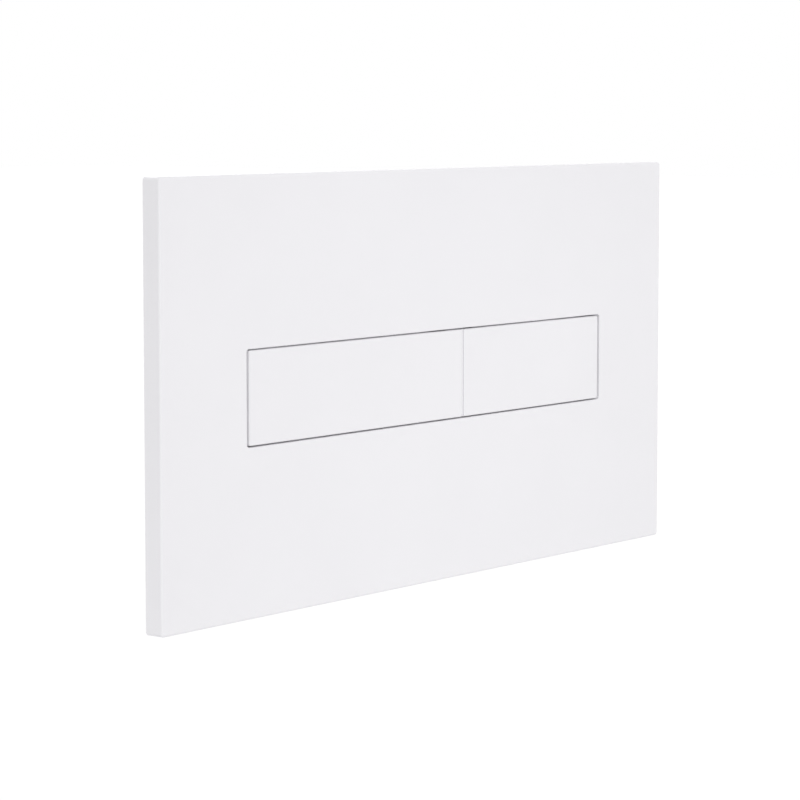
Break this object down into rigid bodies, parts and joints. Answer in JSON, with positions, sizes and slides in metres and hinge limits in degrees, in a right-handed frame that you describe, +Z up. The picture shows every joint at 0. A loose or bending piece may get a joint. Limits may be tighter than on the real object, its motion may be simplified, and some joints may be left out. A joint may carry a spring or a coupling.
{
  "type": "flush button plate",
  "caption": "White rectangular wall plate for a concealed cistern, with a long full flush button beside a shorter half flush button, each hinged at its outer end and pressing a sprung push rod.",
  "frame": {"origin": "centre of the plate on the wall's surface, which the rear of the cover's rim and the frame's flange meet", "axes": "+X to the right as a user sees the plate, +Y into the wall, +Z up"},
  "size_m": [0.271, 0.0689, 0.14],
  "materials": {
    "white_plastic": "smooth white moulding, satin gloss",
    "frame_plastic": "grey moulding with a fine spark-eroded grain",
    "rod_plastic": "natural acetal, slightly waxy",
    "cap_plastic": "dark blue moulding",
    "bright_steel": "ground stainless steel",
    "spring_steel": "drawn spring wire",
    "zinc_steel": "bright zinc plating",
    "stop_rubber": "black moulded rubber"
  },
  "bodies": {
    "plate": {"cover_plate": "white_plastic", "mounting_frame": "frame_plastic", "full_hinge_pin": "bright_steel", "half_hinge_pin": "bright_steel", "full_return_spring": "spring_steel", "half_return_spring": "spring_steel", "fixing_bolt_left": "zinc_steel", "fixing_bolt_right": "zinc_steel", "bolt_washer_left": "zinc_steel", "bolt_washer_right": "zinc_steel"},
    "full_button": {"full_flush_button": "white_plastic", "full_stop_pads": "stop_rubber"},
    "half_button": {"half_flush_button": "white_plastic", "half_stop_pads": "stop_rubber"},
    "full_rod": {"full_push_rod": "rod_plastic", "full_rod_cap": "cap_plastic", "full_rod_clip": "spring_steel"},
    "half_rod": {"half_push_rod": "rod_plastic", "half_rod_cap": "cap_plastic", "half_rod_clip": "spring_steel"}
  },
  "joints": [
    {"name": "full_button_hinge", "type": "hinge", "parent": "plate", "child": "full_button", "pos_m": [-0.092, -0.0008, 0], "axis": [0, 0, 1], "range_deg": [0, 5], "stiffness_Nm_per_rad": 2, "springref_deg": -5.73},
    {"name": "half_button_hinge", "type": "hinge", "parent": "plate", "child": "half_button", "pos_m": [0.092, -0.0008, 0], "axis": [0, 0, -1], "range_deg": [0, 5], "stiffness_Nm_per_rad": 2, "springref_deg": -5.73},
    {"name": "full_rod_slide", "type": "slide", "parent": "plate", "child": "full_rod", "axis": [0, 1, 0], "range_m": [0, 0.005], "deforming": ["full_return_spring"]},
    {"name": "half_rod_slide", "type": "slide", "parent": "plate", "child": "half_rod", "axis": [0, 1, 0], "range_m": [0, 0.005], "deforming": ["half_return_spring"]}
  ],
  "couplings": [
    {"joint": "full_rod_slide", "follows": "full_button_hinge", "m_per_rad": 0.057},
    {"joint": "half_rod_slide", "follows": "half_button_hinge", "m_per_rad": 0.057}
  ]
}
